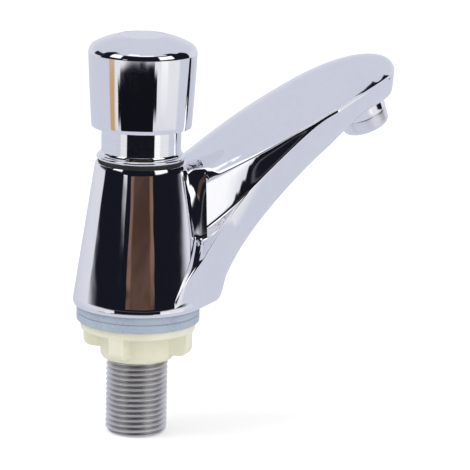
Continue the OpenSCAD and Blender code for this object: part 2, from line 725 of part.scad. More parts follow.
module aerator_screen() {
    hole = 0.8;
    step = 1.3;
    color("DarkGray") at_mouth() translate([0, 0, aerator_lip_h + insert_h]) difference() {
        cylinder(r = aerator_bore_r - run_gap, h = screen_t);
        for (i = [-3 : 3], j = [-3 : 3]) if (norm([i, j]) < 3.7)
            translate([i * step - hole / 2, j * step - hole / 2, -cut])
                cube([hole, hole, screen_t + 2 * cut]);
    }
}

module aerator_gasket() {
    color("DimGray") at_mouth() translate([0, 0, aerator_top])
        ring_solid(aerator_neck_r - 0.1, aerator_bore_r - 1.4, aerator_gasket_t);
}

body_casting();
collar_seal();
bonnet();
bonnet_oring();
stem_oring();
push_button();
index_disc();
cap_screw();
push_stem();
return_spring();
piston();
piston_clip();
lip_seal();
cartridge_sleeve();
valve_seat();
seat_oring();
valve_washer();
washer_cup();
stem_nut();
inlet_shank();
inlet_strainer();
deck_gasket();
clamp_washer();
wing_nut();
aerator_ring();
aerator_insert();
aerator_screen();
aerator_gasket();
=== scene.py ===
"""Looks of a push timed tap: chromed casting and button, clear washers, winged nut and shank.

Every length in the dataclasses is in millimetres, as in the part's source; meshes are in metres.
Z is up along the shank, X along the spout, and the origin lies at the deck surface.
"""

import logging
import math
from collections.abc import Callable
from dataclasses import dataclass, field
from enum import Enum
from functools import cache

import bmesh
import bpy
from mathutils import Matrix, Vector


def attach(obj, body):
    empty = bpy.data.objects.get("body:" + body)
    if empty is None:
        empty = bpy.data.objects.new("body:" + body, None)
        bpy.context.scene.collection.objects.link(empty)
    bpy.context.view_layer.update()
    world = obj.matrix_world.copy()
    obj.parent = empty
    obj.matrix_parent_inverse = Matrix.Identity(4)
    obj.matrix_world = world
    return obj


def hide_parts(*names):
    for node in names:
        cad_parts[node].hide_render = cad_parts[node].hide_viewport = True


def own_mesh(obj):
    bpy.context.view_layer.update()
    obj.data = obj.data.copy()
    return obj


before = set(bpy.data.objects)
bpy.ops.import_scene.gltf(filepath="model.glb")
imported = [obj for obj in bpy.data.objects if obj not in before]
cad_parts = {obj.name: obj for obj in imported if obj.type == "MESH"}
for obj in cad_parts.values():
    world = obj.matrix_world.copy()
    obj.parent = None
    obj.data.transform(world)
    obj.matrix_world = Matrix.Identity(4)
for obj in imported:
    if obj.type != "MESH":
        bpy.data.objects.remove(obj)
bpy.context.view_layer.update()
MM = 0.001
MERGE = 1e-7
FULL_TURN = 2 * math.pi
MOST_ROUND = 0.45
LOG = logging.getLogger("tap")

Point = tuple[float, float]
Colour = tuple[float, float, float, float]
Thing = bpy.types.Object
Tree = bpy.types.NodeTree
Socket = bpy.types.NodeSocket


class Body(Enum):
    """Bodies of the tap that move on their own."""

    TAP = "tap_body"
    PLUNGER = "plunger"
    WASHER = "deck_washer"
    NUT = "back_nut"


class Slot(Enum):
    """Names of material slots; dress takes one for each new piece and does not use it."""

    CASTING = "chrome_casting"
    TURNED = "chrome_turned"
    DISC = "disc"
    STEEL = "steel"
    SHANK = "nickel_shank"
    CLEAR = "clear_gasket"
    NUT = "nut_plastic"


class Cut(Enum):
    """Ways in which a tool changes a mesh."""

    AWAY = "DIFFERENCE"
    SHARED = "INTERSECT"


def lerp(a: float, b: float, u: float) -> float:
    """Returns the value at share u between a and b."""
    return a + (b - a) * u


def clamp(u: float) -> float:
    """Returns u held between 0 and 1."""
    return min(1.0, max(0.0, u))


def slope(angle: float) -> float:
    """Returns the rise over the run of a slope in degrees."""
    return math.tan(math.radians(angle))


def soft_min(a: float, b: float, k: float) -> float:
    """Returns the lesser of two values, with a rounded change from one to the other."""
    return (a + b - math.sqrt((a - b) ** 2 + k**2)) / 2


def shares(count: int, first: int = 0) -> list[float]:
    """Returns equal steps from 0 to 1, starting at the given step."""
    return [i / count for i in range(first, count + 1)]


def arc(centre: Point, radii: Point, start: float, end: float, steps: int) -> list[Point]:
    """Points of an elliptic arc in the profile plane.

    Args:
        centre: Middle of the ellipse.
        radii: Half axes along the two directions.
        start: First angle in degrees.
        end: Last angle in degrees.
        steps: Number of stretches.

    Returns:
        The points from the first angle to the last.
    """
    (x, y), (a, b) = centre, radii
    angles = [math.radians(lerp(start, end, u)) for u in shares(steps)]
    return [(x + a * math.cos(t), y + b * math.sin(t)) for t in angles]


def bow(first: Vector, corner: Vector, last: Vector, steps: int) -> list[Vector]:
    """Returns points of a rounding from one point to another past a corner."""
    return [first * (1 - u) ** 2 + corner * 2 * u * (1 - u) + last * u**2 for u in shares(steps)]


def curve(a: Vector, b: Vector, c: Vector, d: Vector, steps: int) -> list[Vector]:
    """Returns points of a curve from a to d with two handles, without its first point."""
    return [a * (1 - u) ** 3 + b * 3 * u * (1 - u) ** 2 + c * 3 * u**2 * (1 - u) + d * u**3
            for u in shares(steps, 1)]


def towards(corner: Vector, other: Vector, size: float) -> Vector:
    """Returns the place where a rounding of the given size starts on the way to another point."""
    away = other - corner
    return corner + away * min(MOST_ROUND, size / max(away.length, 1e-9))


def soften(points: list[Point], size: float, steps: int = 4) -> list[Point]:
    """Rounds every corner of a closed profile a little.

    Args:
        points: Corners of the profile, without the first one repeated.
        size: Distance from a corner at which the rounding starts.
        steps: Number of stretches in one rounding.

    Returns:
        The rounded profile, with its first point repeated at the end.
    """
    made: list[Point] = []
    corners = [Vector(point) for point in points]
    for before, here, after in zip(corners[-1:] + corners, corners, corners[1:] + corners):
        rounding = bow(towards(here, before, size), here, towards(here, after, size), steps)
        made += [(p.x, p.y) for p in rounding]
    return made + made[:1]


def close_steps(points: list[Point], longest: float) -> list[Point]:
    """Adds points to a profile until no stretch is longer than a given length.

    Args:
        points: Profile to refine.
        longest: Longest stretch that may stay.

    Returns:
        The refined profile.
    """
    made = [points[0]]
    for a, b in zip(points, points[1:]):
        count = max(1, math.ceil(math.dist(a, b) / longest))
        made += [(lerp(a[0], b[0], u), lerp(a[1], b[1], u)) for u in shares(count, 1)]
    return made


def stairs(r: float, z: float, *moves: float) -> list[Point]:
    """Corners of a stepped profile.

    Args:
        r: First radius.
        z: First height.
        *moves: New height, new radius, new height and so on, one for each further corner.

    Returns:
        The corners in order.
    """
    points = [(r, z)]
    for i, value in enumerate(moves):
        r, z = (value, z) if i % 2 else (r, value)
        points.append((r, z))
    return points


def square(inner: float, outer: float, low: float, high: float) -> list[Point]:
    """Returns the four corners of the section of a plain ring."""
    return [(inner, low), *stairs(outer, low, high, inner)]


def clear() -> None:
    """Leaves edit mode and deselects everything."""
    if bpy.context.mode != "OBJECT":
        bpy.ops.object.mode_set(mode="OBJECT")
    bpy.ops.object.select_all(action="DESELECT")


def pick(obj: Thing) -> None:
    """Selects one object alone and makes it active."""
    clear()
    obj.select_set(True)
    bpy.context.view_layer.objects.active = obj


def named(name: str) -> Thing:
    """Names the active object and its mesh and returns it."""
    obj = bpy.context.active_object
    obj.name = obj.data.name = name
    return obj


def edit(obj: Thing) -> None:
    """Opens an object in edit mode and merges its doubled points.

    Args:
        obj: Object to edit.
    """
    pick(obj)
    bpy.ops.object.mode_set(mode="EDIT")
    bpy.ops.mesh.select_all(action="SELECT")
    bpy.ops.mesh.remove_doubles(threshold=MERGE)


def select_edges(obj: Thing, wanted: Callable[[bmesh.types.BMEdge], bool]) -> None:
    """Selects those edges of an object in edit mode that pass a test.

    Args:
        obj: Object in edit mode.
        wanted: Test of one edge.
    """
    bpy.ops.mesh.select_all(action="DESELECT")
    mesh = bmesh.from_edit_mesh(obj.data)
    for edge in mesh.edges:
        edge.select = wanted(edge)
    bmesh.update_edit_mesh(obj.data)


def tidy_mesh() -> None:
    """Merges doubled points of the mesh in edit mode and turns its faces outwards."""
    bpy.ops.mesh.select_all(action="SELECT")
    bpy.ops.mesh.remove_doubles(threshold=MERGE)
    bpy.ops.mesh.normals_make_consistent(inside=False)
    bpy.ops.object.mode_set(mode="OBJECT")


def smooth(obj: Thing, angle: float = 35) -> None:
    """Shades an object smooth up to an edge angle in degrees."""
    pick(obj)
    bpy.ops.object.shade_smooth_by_angle(angle=math.radians(angle))


def wire(points: list[Point]) -> None:
    """Draws a profile in the XZ plane by extruding one point, and stays in edit mode.

    Args:
        points: Radius and height of each point in millimetres.
    """
    clear()
    bpy.ops.mesh.primitive_plane_add(size=MM, location=(0, 0, 0))
    bpy.ops.object.mode_set(mode="EDIT")
    bpy.ops.mesh.select_all(action="SELECT")
    bpy.ops.mesh.merge(type="CENTER")
    bpy.ops.transform.translate(value=(points[0][0] * MM, 0, points[0][1] * MM))
    for a, b in zip(points, points[1:]):
        move = ((b[0] - a[0]) * MM, 0, (b[1] - a[1]) * MM)
        bpy.ops.mesh.extrude_vertices_move(TRANSFORM_OT_translate={"value": move})


def turn(name: str, points: list[Point], steps: int, longest: float = 0.0) -> Thing:
    """Spins a profile about Z into a turned piece.

    Args:
        name: Name of the piece.
        points: Radius and height in millimetres, closed by its first point or by the axis.
        steps: Number of steps round the axis.
        longest: Longest stretch of the profile, or 0 to leave it as it is.

    Returns:
        The turned object.
    """
    wire(close_steps(points, longest) if longest else points)
    bpy.ops.mesh.select_all(action="SELECT")
    bpy.ops.mesh.spin(steps=steps, angle=FULL_TURN, center=(0, 0, 0), axis=(0, 0, 1))
    tidy_mesh()
    obj = named(name)
    smooth(obj)
    return obj


def apply(obj: Thing, kind: str, **settings: object) -> None:
    """Adds a modifier with the given settings and applies it.

    Args:
        obj: Object to change.
        kind: Type of the modifier.
        **settings: Values of its properties.
    """
    pick(obj)
    bpy.ops.object.modifier_add(type=kind)
    modifier = obj.modifiers[-1]
    for key, value in settings.items():
        setattr(modifier, key, value)
    bpy.ops.object.modifier_apply(modifier=modifier.name)


def screw(obj: Thing, pitch: float, turns: int, steps: int) -> None:
    """Screws an outline up the Z axis and stays in edit mode.

    Args:
        obj: Outline beside the axis.
        pitch: Rise of one turn in millimetres.
        turns: Number of turns.
        steps: Number of steps in one turn.
    """
    apply(obj, "SCREW", axis="Z", angle=FULL_TURN, screw_offset=pitch * MM,
          iterations=turns, steps=steps, render_steps=steps)
    edit(obj)


def combine(obj: Thing, tool: Thing, how: Cut) -> None:
    """Cuts an object with a tool, or keeps what both share, and removes the tool.

    Args:
        obj: Object to change.
        tool: Closed mesh that cuts.
        how: What stays of the object.
    """
    apply(obj, "BOOLEAN", operation=how.value, solver="EXACT", object=tool)
    pick(tool)
    bpy.ops.object.delete()


def join(name: str, first: Thing, *others: Thing) -> Thing:
    """Joins closed shells into one object.

    Args:
        name: Name of the result.
        first: Object that takes up the others.
        *others: Objects that it takes up.

    Returns:
        The joined object.
    """
    pick(first)
    for other in others:
        other.select_set(True)
    bpy.ops.object.join()
    return named(name)


def place(obj: Thing, matrix: Matrix) -> None:
    """Moves an object by a matrix and applies its place to the mesh."""
    pick(obj)
    obj.matrix_world = matrix @ obj.matrix_world
    bpy.ops.object.transform_apply()


class Nodes:
    """Small help for building node trees."""

    def __init__(self, tree: Tree) -> None:
        """Keeps the tree that the nodes go into."""
        self.tree = tree

    @classmethod
    def of(cls, owner: bpy.types.Material | bpy.types.World) -> "Nodes":
        """Returns a helper for the emptied node tree of a material or a world."""
        owner.use_nodes = True
        owner.node_tree.nodes.clear()
        return cls(owner.node_tree)

    def add(self, kind: str, inputs: dict | None = None, **settings: object) -> bpy.types.Node:
        """Adds one node.

        Args:
            kind: Type of the node, without the ShaderNode prefix.
            inputs: Value or socket for each named or numbered input.
            **settings: Values of the node's own properties.

        Returns:
            The new node.
        """
        node = self.tree.nodes.new("ShaderNode" + kind)
        for key, value in settings.items():
            setattr(node, key, value)
        for key, value in (inputs or {}).items():
            if isinstance(value, bpy.types.NodeSocket):
                self.tree.links.new(value, node.inputs[key])
            else:
                node.inputs[key].default_value = value
        return node

    def math(self, how: str, a: object, b: object = 0.0) -> Socket:
        """Returns the result of a math node."""
        return self.add("Math", {0: a, 1: b}, operation=how).outputs[0]

    def dot(self, a: Socket, b: Vector) -> Socket:
        """Returns the scalar product of two directions."""
        return self.add("VectorMath", {0: a, 1: b}, operation="DOT_PRODUCT").outputs["Value"]

    def ramp(self, value: object, low: float, high: float, to: Point = (0.0, 1.0)) -> Socket:
        """Returns a value that changes smoothly between two limits, over the range given by to."""
        inputs = {0: value, 1: low, 2: high, 3: to[0], 4: to[1]}
        return self.add("MapRange", inputs, interpolation_type="SMOOTHSTEP").outputs[0]

    def within(self, angle: Socket, low: float, high: float, soft: float) -> Socket:
        """Returns 1 between two limits in degrees and 0 beyond them, with soft edges."""
        a, b, s = math.radians(low), math.radians(high), math.radians(soft)
        return self.math("MULTIPLY", self.ramp(angle, a - s, a + s), self.ramp(angle, b + s, b - s))

    def blend(self, share: object, a: object, b: object) -> Socket:
        """Returns the colour at a share between two colours."""
        return self.add("Mix", {0: share, 6: a, 7: b}, data_type="RGBA").outputs[2]

    def mix(self, share: Socket, a: Socket, b: Socket) -> Socket:
        """Returns the shader at a share between two shaders."""
        return self.add("MixShader", {0: share, 1: a, 2: b}).outputs[0]

    def noise(self, vector: Socket, scale: object, detail: float) -> Socket:
        """Returns the value of a noise."""
        inputs = {"Vector": vector, "Scale": scale, "Detail": detail}
        return self.add("TexNoise", inputs).outputs[0]

    def place(self) -> Socket:
        """Returns the place on the object."""
        return self.add("TexCoord").outputs["Object"]

    def round_axis(self) -> tuple[Socket, Socket]:
        """Returns the distance from the object's Z axis and the height along it."""
        x, y, z = self.add("SeparateXYZ", {0: self.place()}).outputs
        squares = self.math("ADD", self.math("POWER", x, 2.0), self.math("POWER", y, 2.0))
        return self.math("SQRT", squares), z


def start_group(name: str, **inputs: float) -> tuple[Nodes, dict[str, Socket]]:
    """Makes a group with the numbers that go in.

    Args:
        name: Name of the group.
        **inputs: Default of each number.

    Returns:
        A node helper for the group and its input sockets by name.
    """
    tree = bpy.data.node_groups.new(name, "ShaderNodeTree")
    for key, value in inputs.items():
        socket = tree.interface.new_socket(key, in_out="INPUT", socket_type="NodeSocketFloat")
        socket.default_value = value
    for key in ("Mask", "Height"):
        tree.interface.new_socket(key, in_out="OUTPUT", socket_type="NodeSocketFloat")
    entry = tree.nodes.new("NodeGroupInput")
    return Nodes(tree), {s.name: s for s in entry.outputs if s.name}


def close_group(n: Nodes, mask: Socket, height: Socket) -> Tree:
    """Leads the two results out of a group.

    Args:
        n: Node helper of the group.
        mask: Mask between 0 and 1.
        height: Height for the relief.

    Returns:
        The group.
    """
    out = n.tree.nodes.new("NodeGroupOutput")
    n.tree.links.new(mask, out.inputs["Mask"])
    n.tree.links.new(height, out.inputs["Height"])
    return n.tree


@cache
def polish() -> Tree:
    """Returns the group of faint wiping marks and ripple on a polished surface."""
    n, given = start_group("polish_marks", Scale=60.0, Stretch=0.25)
    size = n.add("CombineXYZ", {0: 1.0, 1: 1.0, 2: given["Stretch"]}).outputs[0]
    vector = n.add("VectorMath", {0: n.place(), 1: size}, operation="MULTIPLY").outputs[0]
    broad = n.noise(vector, given["Scale"], 3.0)
    fine = n.noise(vector, n.math("MULTIPLY", given["Scale"], 9.0), 4.0)
    both = n.math("ADD", n.math("MULTIPLY", broad, 0.65), n.math("MULTIPLY", fine, 0.35))
    return close_group(n, n.ramp(both, 0.36, 0.64), broad)


@cache
def turning() -> Tree:
    """Returns the group of fine tool lines round the Z axis of a turned piece."""
    n, given = start_group("turning_lines", Lines=4000.0, Spread=0.3)
    radius, height = n.round_axis()
    run = n.math("MULTIPLY", n.math("ADD", radius, height), given["Lines"])
    lines = n.noise(n.add("CombineXYZ", {0: run, 1: given["Spread"]}).outputs[0], 1.0, 2.0)
    return close_group(n, n.ramp(lines, 0.3, 0.7), lines)


@cache
def grain() -> Tree:
    """Returns the group of fine grain and slow colour drift of plastic and rubber."""
    n, given = start_group("moulded_grain", Grain=2500.0, Drift=90.0)
    spot = n.place()
    drift = n.noise(spot, given["Drift"], 3.0)
    return close_group(n, n.ramp(drift, 0.3, 0.7), n.noise(spot, given["Grain"], 2.0))


@dataclass(frozen=True)
class Finish:
    """Finish of polished metal: two close colours and roughnesses, and a relief from a group."""

    name: str
    pale: Colour
    deep: Colour
    rough: Point
    relief: float
    metallic: float = 1.0
    ior: float = 1.5
    transmission: float = 0.0
    subsurface: float = 0.0

    def pattern(self, n: Nodes) -> bpy.types.Node:
        """Returns the group node that varies this finish."""
        return n.add("Group", node_tree=polish())

    def colour(self, n: Nodes, mask: Socket) -> Socket:
        """Returns the base colour over the surface."""
        return n.blend(mask, self.pale, self.deep)

    def make(self) -> bpy.types.Material:
        """Returns the material of this finish, built at its first use."""
        found = bpy.data.materials.get(self.name)
        if found:
            return found
        material = bpy.data.materials.new(self.name)
        n = Nodes.of(material)
        pattern = self.pattern(n)
        mask, height = pattern.outputs["Mask"], pattern.outputs["Height"]
        bump = n.add("Bump", {"Strength": 0.5, "Distance": self.relief, "Height": height})
        shader = n.add("BsdfPrincipled", {
            "Base Color": self.colour(n, mask), "Roughness": n.ramp(mask, 0.0, 1.0, self.rough),
            "Metallic": self.metallic, "IOR": self.ior, "Transmission Weight": self.transmission,
            "Subsurface Weight": self.subsurface, "Subsurface Radius": (1.0, 0.9, 0.7),
            "Subsurface Scale": 0.0015, "Normal": bump.outputs[0]})
        n.add("OutputMaterial", {"Surface": shader.outputs[0]})
        LOG.info("finish %s", self.name)
        return material


@dataclass(frozen=True)
class TurnedFinish(Finish):
    """Metal finish with fine tool lines."""

    lines: float = 4000.0

    def pattern(self, n: Nodes) -> bpy.types.Node:
        """Returns the group node of the tool lines."""
        return n.add("Group", {"Lines": self.lines}, node_tree=turning())


@dataclass(frozen=True)
class MouldedFinish(Finish):
    """Plastic or rubber finish with fine grain."""

    metallic: float = 0.0

    def pattern(self, n: Nodes) -> bpy.types.Node:
        """Returns the group node of the grain."""
        return n.add("Group", node_tree=grain())


@dataclass(frozen=True)
class ShadedThreadFinish(TurnedFinish):
    """Plated thread with painted shade: its roots are darker than its crests."""

    root_r: float = 9.3
    crest_r: float = 10.4

    def colour(self, n: Nodes, mask: Socket) -> Socket:
        """Returns a base colour that darkens towards the axis, as painted shade in the thread
        roots.
        """
        # painted shade: the colour goes to the deep tone in the thread roots and the pale tone on
        # the crests
        share = n.ramp(n.round_axis()[0], self.root_r * MM, self.crest_r * MM)
        return n.blend(share, self.deep, self.pale)


PALE_CHROME: Colour = (0.93, 0.93, 0.94, 1)
DEEP_CHROME: Colour = (0.90, 0.90, 0.92, 1)
CHROME = Finish("chrome_plate", PALE_CHROME, DEEP_CHROME, (0.025, 0.05), 6e-4)
CHROME_CAP = Finish("chrome_cap_plate", PALE_CHROME, DEEP_CHROME, (0.025, 0.05), 2.5e-4)
CHROME_TURNED = TurnedFinish("chrome_turned_plate", PALE_CHROME, (0.89, 0.89, 0.91, 1),
                             (0.03, 0.06), 4e-7, lines=2500.0)
PLATE = TurnedFinish("index_plate_satin", (0.96, 0.96, 0.98, 1), (0.90, 0.91, 0.94, 1),
                     (0.16, 0.26), 1e-6, lines=5000.0)
# nickel thread with painted shade in its roots
NICKEL = ShadedThreadFinish("nickel_thread", (0.88, 0.87, 0.86, 1), (0.66, 0.64, 0.62, 1),
                      (0.36, 0.48), 2e-6)
SATIN = TurnedFinish("satin_plate", PALE_CHROME, (0.91, 0.91, 0.92, 1), (0.28, 0.32), 4e-7)
NYLON = MouldedFinish("cream_nylon", (0.88, 0.865, 0.70, 1), (0.82, 0.80, 0.64, 1),
                      (0.34, 0.48), 8e-6, subsurface=0.12)
CLEAR = MouldedFinish("clear_washer", (0.52, 0.60, 0.70, 1), (0.45, 0.53, 0.64, 1),
                      (0.2, 0.34), 4e-6, ior=1.42, transmission=0.15)
RUBBER = MouldedFinish("seal_black", (0.028, 0.028, 0.03, 1), (0.016, 0.016, 0.018, 1),
                       (0.55, 0.75), 1e-5)
BRASS = TurnedFinish("turned_brass", (0.83, 0.60, 0.27, 1), (0.70, 0.48, 0.19, 1),
                     (0.18, 0.34), 2e-6)
STEEL = TurnedFinish("plain_steel", (0.66, 0.66, 0.67, 1), (0.52, 0.52, 0.54, 1),
                     (0.2, 0.36), 2e-6)
ACETAL = MouldedFinish("piston_white", (0.78, 0.76, 0.68, 1), (0.70, 0.68, 0.60, 1),
                       (0.3, 0.42), 4e-6, subsurface=0.05)
INSERT = MouldedFinish("insert_white", (0.80, 0.80, 0.81, 1), (0.72, 0.72, 0.73, 1),
                       (0.32, 0.45), 4e-6, subsurface=0.05)


def coat(piece: Thing, finish: Finish) -> None:
    """Gives a piece its finish as its only material."""
    piece.data.materials.clear()
    piece.data.materials.append(finish.make())


def dress(piece: Thing, finish: Finish, body: Body, slot: Slot, *nodes: str) -> None:
    """Gives a new piece its finish and ties it to the frame.

    Args:
        piece: Finished object at the origin.
        finish: Finish of its surface.
        body: Body that it rides on.
        slot: Material slot; not used.
        *nodes: Nodes that it stands for.
    """
    coat(piece, finish)
    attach(piece, body.value)
    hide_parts(*nodes)
    LOG.info("piece %s rides on %s for %s", piece.name, body.value, ", ".join(nodes))


@dataclass
class Spout:
    """Free form of the spout: hood, side pockets, lower band and underside.

    In all methods x is the distance of a section from the shank axis.
    """

    length: float = 97.3
    edge_z: Point = (38.7, 78.4)
    edge_rise: Point = (16.2, 9.8)
    hood_w: Point = (5.9, 18.3)
    hood_x: float = 56.6
    end_power: float = 2.3
    crown_ratio: Point = (0.63, 0.48)
    band_rise: float = 44.1
    band_root_z: float = 5.7
    band_root_bend: float = 0.018
    band_w: Point = (11.1, 22.3)
    band_tilt: float = 0.15
    band_blend: float = 3.0
    band_power: Point = (2.2, 4.0)
    floor_w: float = 9.0
    pocket_x: float = 19.5
    pocket_end: float = 66.9
    strip_w: float = 11.5
    strip_x: float = 17.0
    strip_fillet: float = 6.4
    strip_root_w: float = 12.8
    wall_slope: float = 0.55
    floor_toe: float = 5.5
    nose_reach: float = 28.8
    nose_r: float = 13.0
    keel_rise: float = 76.6
    keel_power: float = 0.73
    keel_blend: float = 4.0
    keel_tip_z: float = 69.0
    keel_tip_rise: float = 16.0
    base_z: float = 2.75
    egg_r: float = 22.2
    root_x: float = 2.0
    band_bend_x: float = 16.0
    band_fade_x: float = 34.0
    mouth_x: float = 89.0
    edge_gap: float = 1.2
    side_draw: float = 0.3
    step_run: float = 0.4
    ridge: float = 0.7
    hollow: float = 0.9
    shoulder: Point = (7.0, 4.8)
    shoulder_run: float = 4.0
    floor_lean: float = 0.09
    lean_run: Point = (24.0, 40.0)
    rim_draw: float = 0.7
    rim_round: float = 1.5
    rim_fade: float = 5.0
    flank_lean: float = 0.10
    fillet: float = 4.5
    fillet_lift: float = 0.7
    cone_top: Point = (15.4, 51.2)
    cone_foot: Point = (22.2, 5.15)
    corner_steps: int = 6
    wall_steps: int = 16
    rim_steps: int = 8
    floor_bend: float = field(init=False)

    def __post_init__(self) -> None:
        """Finds the bend that leads the pocket floor out to the hood edge."""
        run = self.pocket_end - self.pocket_x - self.step_run
        rise = self.hood(self.pocket_end) - self.side_draw - self.floor_w
        self.floor_bend = (rise - run * slope(self.floor_toe)) / run**2

    def edge(self, x: float) -> float:
        """Returns the height of the hood edge."""
        u, (root, tip), (a, b) = x / self.length, self.edge_z, map(slope, self.edge_rise)
        return (root * (1 - 3 * u**2 + 2 * u**3) + tip * (3 * u**2 - 2 * u**3)
                + self.length * (a * (u - 2 * u**2 + u**3) + b * (u**3 - u**2)))

    def hood(self, x: float) -> float:
        """Width of the hood, which swells and then closes round the end.

        Args:
            x: Distance from the shank axis.

        Returns:
            The half width.
        """
        if x < self.hood_x:
            return lerp(*self.hood_w, math.sin(math.pi / 2 * x / self.hood_x))
        u = clamp((x - self.hood_x) / (self.length - self.hood_x))
        return self.hood_w[1] * max(0.0, 1 - u**self.end_power) ** (1 / self.end_power)

    def band_height(self, x: float) -> float:
        """Returns the height of the band edge, which bends to run along under the hood edge."""
        line = self.band_root_z + x * slope(self.band_rise)
        line -= self.band_root_bend * max(0.0, self.band_bend_x - x) ** 2
        return soft_min(line, self.edge(x) - self.edge_gap, self.band_blend)

    def floor(self, x: float) -> float:
        """Width at the flank.

        Args:
            x: Distance from the shank axis.

        Returns:
            The half width at the strip by the body, the pocket floor or the plain side.
        """
        if x <= self.pocket_x:
            fall = math.sqrt(max(0.0, self.strip_fillet**2 - (self.strip_x - x) ** 2))
            return min(self.strip_root_w, self.strip_w + self.strip_fillet - fall)
        if x < self.pocket_end:
            run = x - self.pocket_x - self.step_run
            return self.floor_w + run * slope(self.floor_toe) + self.floor_bend * run**2
        return self.hood(x) - min(self.side_draw, self.hood(x) / 8)

    def band(self, x: float) -> float:
        """Width of the lower band.

        Args:
            x: Distance from the shank axis.

        Returns:
            The half width, that of the flank towards the end.
        """
        under = self.floor(max(x, self.pocket_x + self.step_run))
        if x > self.hood_x:
            return under
        share = clamp((x + self.root_x) / (self.band_fade_x + self.root_x))
        fade = 0.5 + 0.5 * math.cos(math.pi * share)
        return max(under, lerp(*self.band_w, fade))

    def keel(self, x: float) -> float:
        """Height of the underside.

        Args:
            x: Distance from the shank axis.

        Returns:
            The height, that of the foot as far as the nose.
        """
        if x <= self.nose_reach:
            return self.base_z
        share = (x - self.nose_reach) / (self.length - self.nose_reach)
        rise = self.base_z + self.keel_rise * share**self.keel_power
        line = self.keel_tip_z - (self.length - x) * slope(self.keel_tip_rise)
        return max(self.base_z, soft_min(rise, line, self.keel_blend))

    def egg(self, x: float) -> float:
        """Width of the flat bottom, which is egg-shaped.

        Args:
            x: Distance from the shank axis.

        Returns:
            The half width on the round foot, on its tangent or on the nose.
        """
        nose_x = self.nose_reach - self.nose_r
        swing = math.asin((self.egg_r - self.nose_r) / nose_x)
        if x > nose_x + self.nose_r * math.sin(swing):
            nose = math.sqrt(max(0.0, self.nose_r**2 - (x - nose_x) ** 2))
            return max(min(1.5, self.hood(x) / 2), nose)
        if x > self.egg_r * math.sin(swing):
            return self.egg_r / math.cos(swing) - x * math.tan(swing)
        return math.sqrt(self.egg_r**2 - x**2)

    def rounding(self, x: float) -> float:
        """Rounding of the hood edge.

        Args:
            x: Distance from the shank axis.

        Returns:
            Its size, large at the strip and small along the pocket.
        """
        root, tip = self.shoulder
        if x <= self.pocket_x:
            start = self.cone_top[0]
            return lerp(root, tip, clamp((x - start) / (self.pocket_x - start)))
        share = clamp((x - self.pocket_x) / self.shoulder_run)
        return lerp(tip, self.ridge, share * share * (3 - 2 * share))

    def leaning(self, x: float) -> float:
        """Returns how far the pocket floor falls back for its height, most at mid length."""
        start, run = self.lean_run[0], self.lean_run[1] - self.lean_run[0]
        return self.floor_lean * min(clamp((x - start) / run), clamp((self.pocket_end - x) / run))

    def lifted(self, x: float, point: Vector) -> Vector:
        """Raises a point of the ledge beside the cone, which it meets with a fillet.

        Args:
            x: Distance from the shank axis.
            point: Half width and height.

        Returns:
            The raised point.
        """
        (top_r, top_z), (foot_r, foot_z) = self.cone_top, self.cone_foot
        cone = lerp(foot_r, top_r, (point.y - foot_z) / (top_z - foot_z))
        gap = point.x - math.sqrt(max(0.0, cone**2 - x**2))
        near = clamp(1 - gap / self.fillet) if x < cone else 0.0
        return Vector((point.x, point.y + self.fillet_lift * self.fillet * near**2))

    def lower(self, x: float) -> list[Vector]:
        """Points of one half of a section below the ledge.

        Args:
            x: Distance from the shank axis.

        Returns:
            Half width and height from the middle of the underside to just under the ledge.
        """
        low, keel, egg, band = self.band_height(x), self.keel(x), self.egg(x), self.band(x)
        past_nose = x - self.nose_reach
        power = lerp(*self.band_power, clamp(past_nose / (self.mouth_x - self.nose_reach)))
        tilt = self.band_tilt * clamp(past_nose / self.nose_r)
        draw = self.rim_draw * clamp(-past_nose / self.rim_fade)
        points = [Vector(((egg - draw) * u, keel)) for u in shares(4)[:-1]]
        for u in shares(18)[:-1]:
            v = u**2
            share = (1 - (1 - v) ** power) ** (1 / power)
            rim = draw * clamp(1 - v * (low - keel) / self.rim_round) ** 2
            width = lerp(egg, band, share) * (1 - tilt * (1 - v)) - rim
            points.append(Vector((width, lerp(keel, low, v))))
        return points

    def side(self, x: float) -> list[Vector]:
        """Points of one half of a section.

        Args:
            x: Distance from the shank axis.

        Returns:
            Half width and height from the middle of the underside to the crown.
        """
        low, high, floor, hood = self.band_height(x), self.edge(x), self.floor(x), self.hood(x)
        band, size, strip = self.band(x), self.rounding(x), x <= self.pocket_x
        points = self.lower(x)
        least = self.edge_gap / 3
        wall = max(least, self.wall_slope * (band - floor))
        roof = 0.0 if strip else max(least, (hood - floor) / 3)
        lean = self.flank_lean if strip else self.leaning(x)
        outer, nook = Vector((band, low)), Vector((floor, low + wall))
        top = Vector((floor - lean * (high - roof - low - wall), high - roof))
        ledge = bow(towards(outer, points[-1], self.ridge), outer,
                    towards(outer, nook, self.ridge), self.corner_steps)
        inner = bow(towards(nook, outer, self.hollow), nook,
                    towards(nook, top, self.hollow), self.corner_steps)
        ledge += [ledge[-1].lerp(inner[0], u) for u in shares(self.wall_steps, 1)[:-1]] + inner
        points += [self.lifted(x, point) for point in ledge]
        angle = 2 * math.atan(lerp(*self.crown_ratio, min(1.0, x / self.hood_x)))
        r = hood / math.sin(angle)
        first = max(0.5 * angle, angle - size / r)
        crown = [Vector((r * math.sin(t), high + r * (math.cos(t) - math.cos(angle))))
                 for t in (first * (1 - u) for u in shares(26))]
        start, lip = points[-1], crown[0]
        if strip:
            leave = lip + 2 * Vector((math.cos(first), -math.sin(first)))
            count = self.wall_steps + self.corner_steps + self.rim_steps + 1
            points += curve(start, start.lerp(top, 0.55), leave, lip, count)
        else:
            edge, end = Vector((hood, high)), towards(top, nook, self.hollow)
            handle = Vector((lerp(start.x, end.x, 0.6), lerp(start.y, end.y, 0.5)))
            upper = Vector((end.x, lerp(start.y, end.y, 0.8)))
            points += curve(start, handle, upper, end, self.wall_steps)[:-1]
            points += bow(end, top, towards(top, edge, self.hollow), self.corner_steps)
            points += bow(towards(edge, top, size), edge, lip, self.rim_steps)
        return points + crown[1:]

